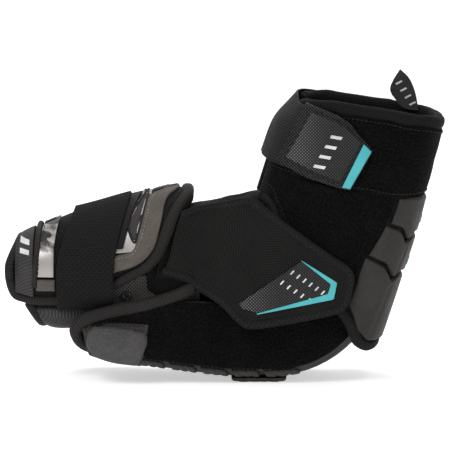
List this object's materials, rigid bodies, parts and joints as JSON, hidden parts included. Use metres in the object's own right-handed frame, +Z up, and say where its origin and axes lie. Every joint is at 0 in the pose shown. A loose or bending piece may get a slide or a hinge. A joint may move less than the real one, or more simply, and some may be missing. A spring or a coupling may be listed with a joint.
{
  "type": "ice hockey elbow pad",
  "caption": "Bent ice hockey elbow pad for the right arm: padded forearm cuff, moulded elbow cap, bicep guard with back blocks, and hook-and-loop straps.",
  "frame": {"origin": "middle of the pad's footprint on the surface that it rests on", "axes": "+X from the hand end towards the back of the upper arm, the pad's longest extent; +Y towards the body side, its shortest extent; +Z up"},
  "size_m": [0.3484, 0.1222, 0.242],
  "materials": {
    "velvet_loop": "brushed loop pile",
    "moulded_foam": "moulded closed-cell foam with a fine grain",
    "inner_foam": "soft foam",
    "hard_plate": "moulded",
    "ribbed_piping": "thick ribbed elastic binding",
    "edge_binding": "stitched tape binding",
    "liner_fabric": "brushed knit",
    "mesh_fabric": "fine mesh",
    "metallic_inlay": "metallic film with dark blotches",
    "trim_fabric": "coated trim",
    "teal_print": "printed",
    "printed_label": "rubberised print with a fine lattice",
    "hook_tape": "moulded hooks",
    "keeper_ring": "moulded",
    "elastic_webbing": "perforated elastic",
    "ribbed_webbing": "ribbed elastic",
    "stretch_fabric": "woven stretch",
    "panel_fabric": "woven",
    "ribbon": "satin ribbon",
    "shell_fabric": "woven"
  },
  "bodies": {
    "elbow": {"elbow_cap_shell": "moulded_foam", "elbow_foam": "inner_foam", "elbow_liner": "liner_fabric", "elbow_wear_pad": "moulded_foam", "elbow_ribs": "moulded_foam", "elbow_loop_near": "velvet_loop", "elbow_loop_far": "velvet_loop", "elbow_wing_near": "moulded_foam", "elbow_wing_far": "moulded_foam", "elbow_rim_piping": "ribbed_piping", "crook_sleeve": "stretch_fabric"},
    "anchor_strap": {"anchor_tab": "stretch_fabric", "anchor_binding": "edge_binding", "anchor_label": "printed_label", "anchor_chevron": "teal_print", "anchor_hook_patch": "hook_tape"},
    "forearm": {"cuff_pad": "shell_fabric", "cuff_plate": "hard_plate", "cuff_liner": "liner_fabric", "cuff_binding": "edge_binding", "cuff_end_panel": "panel_fabric", "cuff_cord": "edge_binding", "cuff_inlay_front": "metallic_inlay", "cuff_inlay_rear": "metallic_inlay", "cuff_trim": "trim_fabric", "cuff_pocket_frame": "edge_binding", "forearm_lower_pad": "panel_fabric", "lower_pad_binding": "edge_binding", "forearm_mesh": "mesh_fabric", "strap_ring": "keeper_ring", "strap_base": "elastic_webbing"},
    "forearm_strap": {"forearm_strap": "elastic_webbing", "forearm_strap_hook": "hook_tape"},
    "bicep": {"guard_shell": "shell_fabric", "guard_plate": "hard_plate", "guard_liner": "liner_fabric", "guard_loop_near": "velvet_loop", "guard_loop_far": "velvet_loop", "guard_top_band": "velvet_loop", "guard_block_lower": "moulded_foam", "guard_block_middle": "moulded_foam", "guard_block_upper": "moulded_foam", "guard_accents": "teal_print", "guard_lower_binding": "edge_binding", "guard_collar": "velvet_loop", "guard_front_binding_near": "edge_binding", "guard_front_binding_far": "edge_binding", "bicep_strap_web": "ribbed_webbing"},
    "bicep_strap": {"bicep_tab": "ribbed_webbing", "bicep_tab_border": "edge_binding", "bicep_label": "printed_label", "bicep_stripe": "teal_print", "bicep_hook_patch": "hook_tape"},
    "side_tag": {"side_tag": "ribbon"}
  },
  "joints": [
    {"name": "forearm_flex", "type": "hinge", "parent": "elbow", "child": "forearm", "pos_m": [0.038, 0, 0.092], "axis": [0, 1, 0], "range_deg": [0, 8]},
    {"name": "bicep_flex", "type": "hinge", "parent": "elbow", "child": "bicep", "pos_m": [0.038, 0, 0.092], "axis": [0, -1, 0], "range_deg": [-50, 18]},
    {"name": "anchor_strap_peel", "type": "hinge", "parent": "elbow", "child": "anchor_strap", "pos_m": [0, -0.052, 0.146], "axis": [-1, 0, 0], "range_deg": [0, 95]},
    {"name": "forearm_strap_peel", "type": "hinge", "parent": "forearm", "child": "forearm_strap", "pos_m": [-0.11, -0.046, 0.07], "axis": [1, 0, 0], "range_deg": [0, 95]},
    {"name": "bicep_strap_peel", "type": "hinge", "parent": "bicep", "child": "bicep_strap", "pos_m": [0.0319, -0.0245, 0.1991], "axis": [-0.309, 0, -0.9511], "range_deg": [0, 110]},
    {"name": "side_tag_fold", "type": "hinge", "parent": "bicep", "child": "side_tag", "pos_m": [0.146, 0.0437, 0.211], "axis": [1, 0, 0], "range_deg": [0, 40], "stiffness_Nm_per_rad": 0.002}
  ]
}
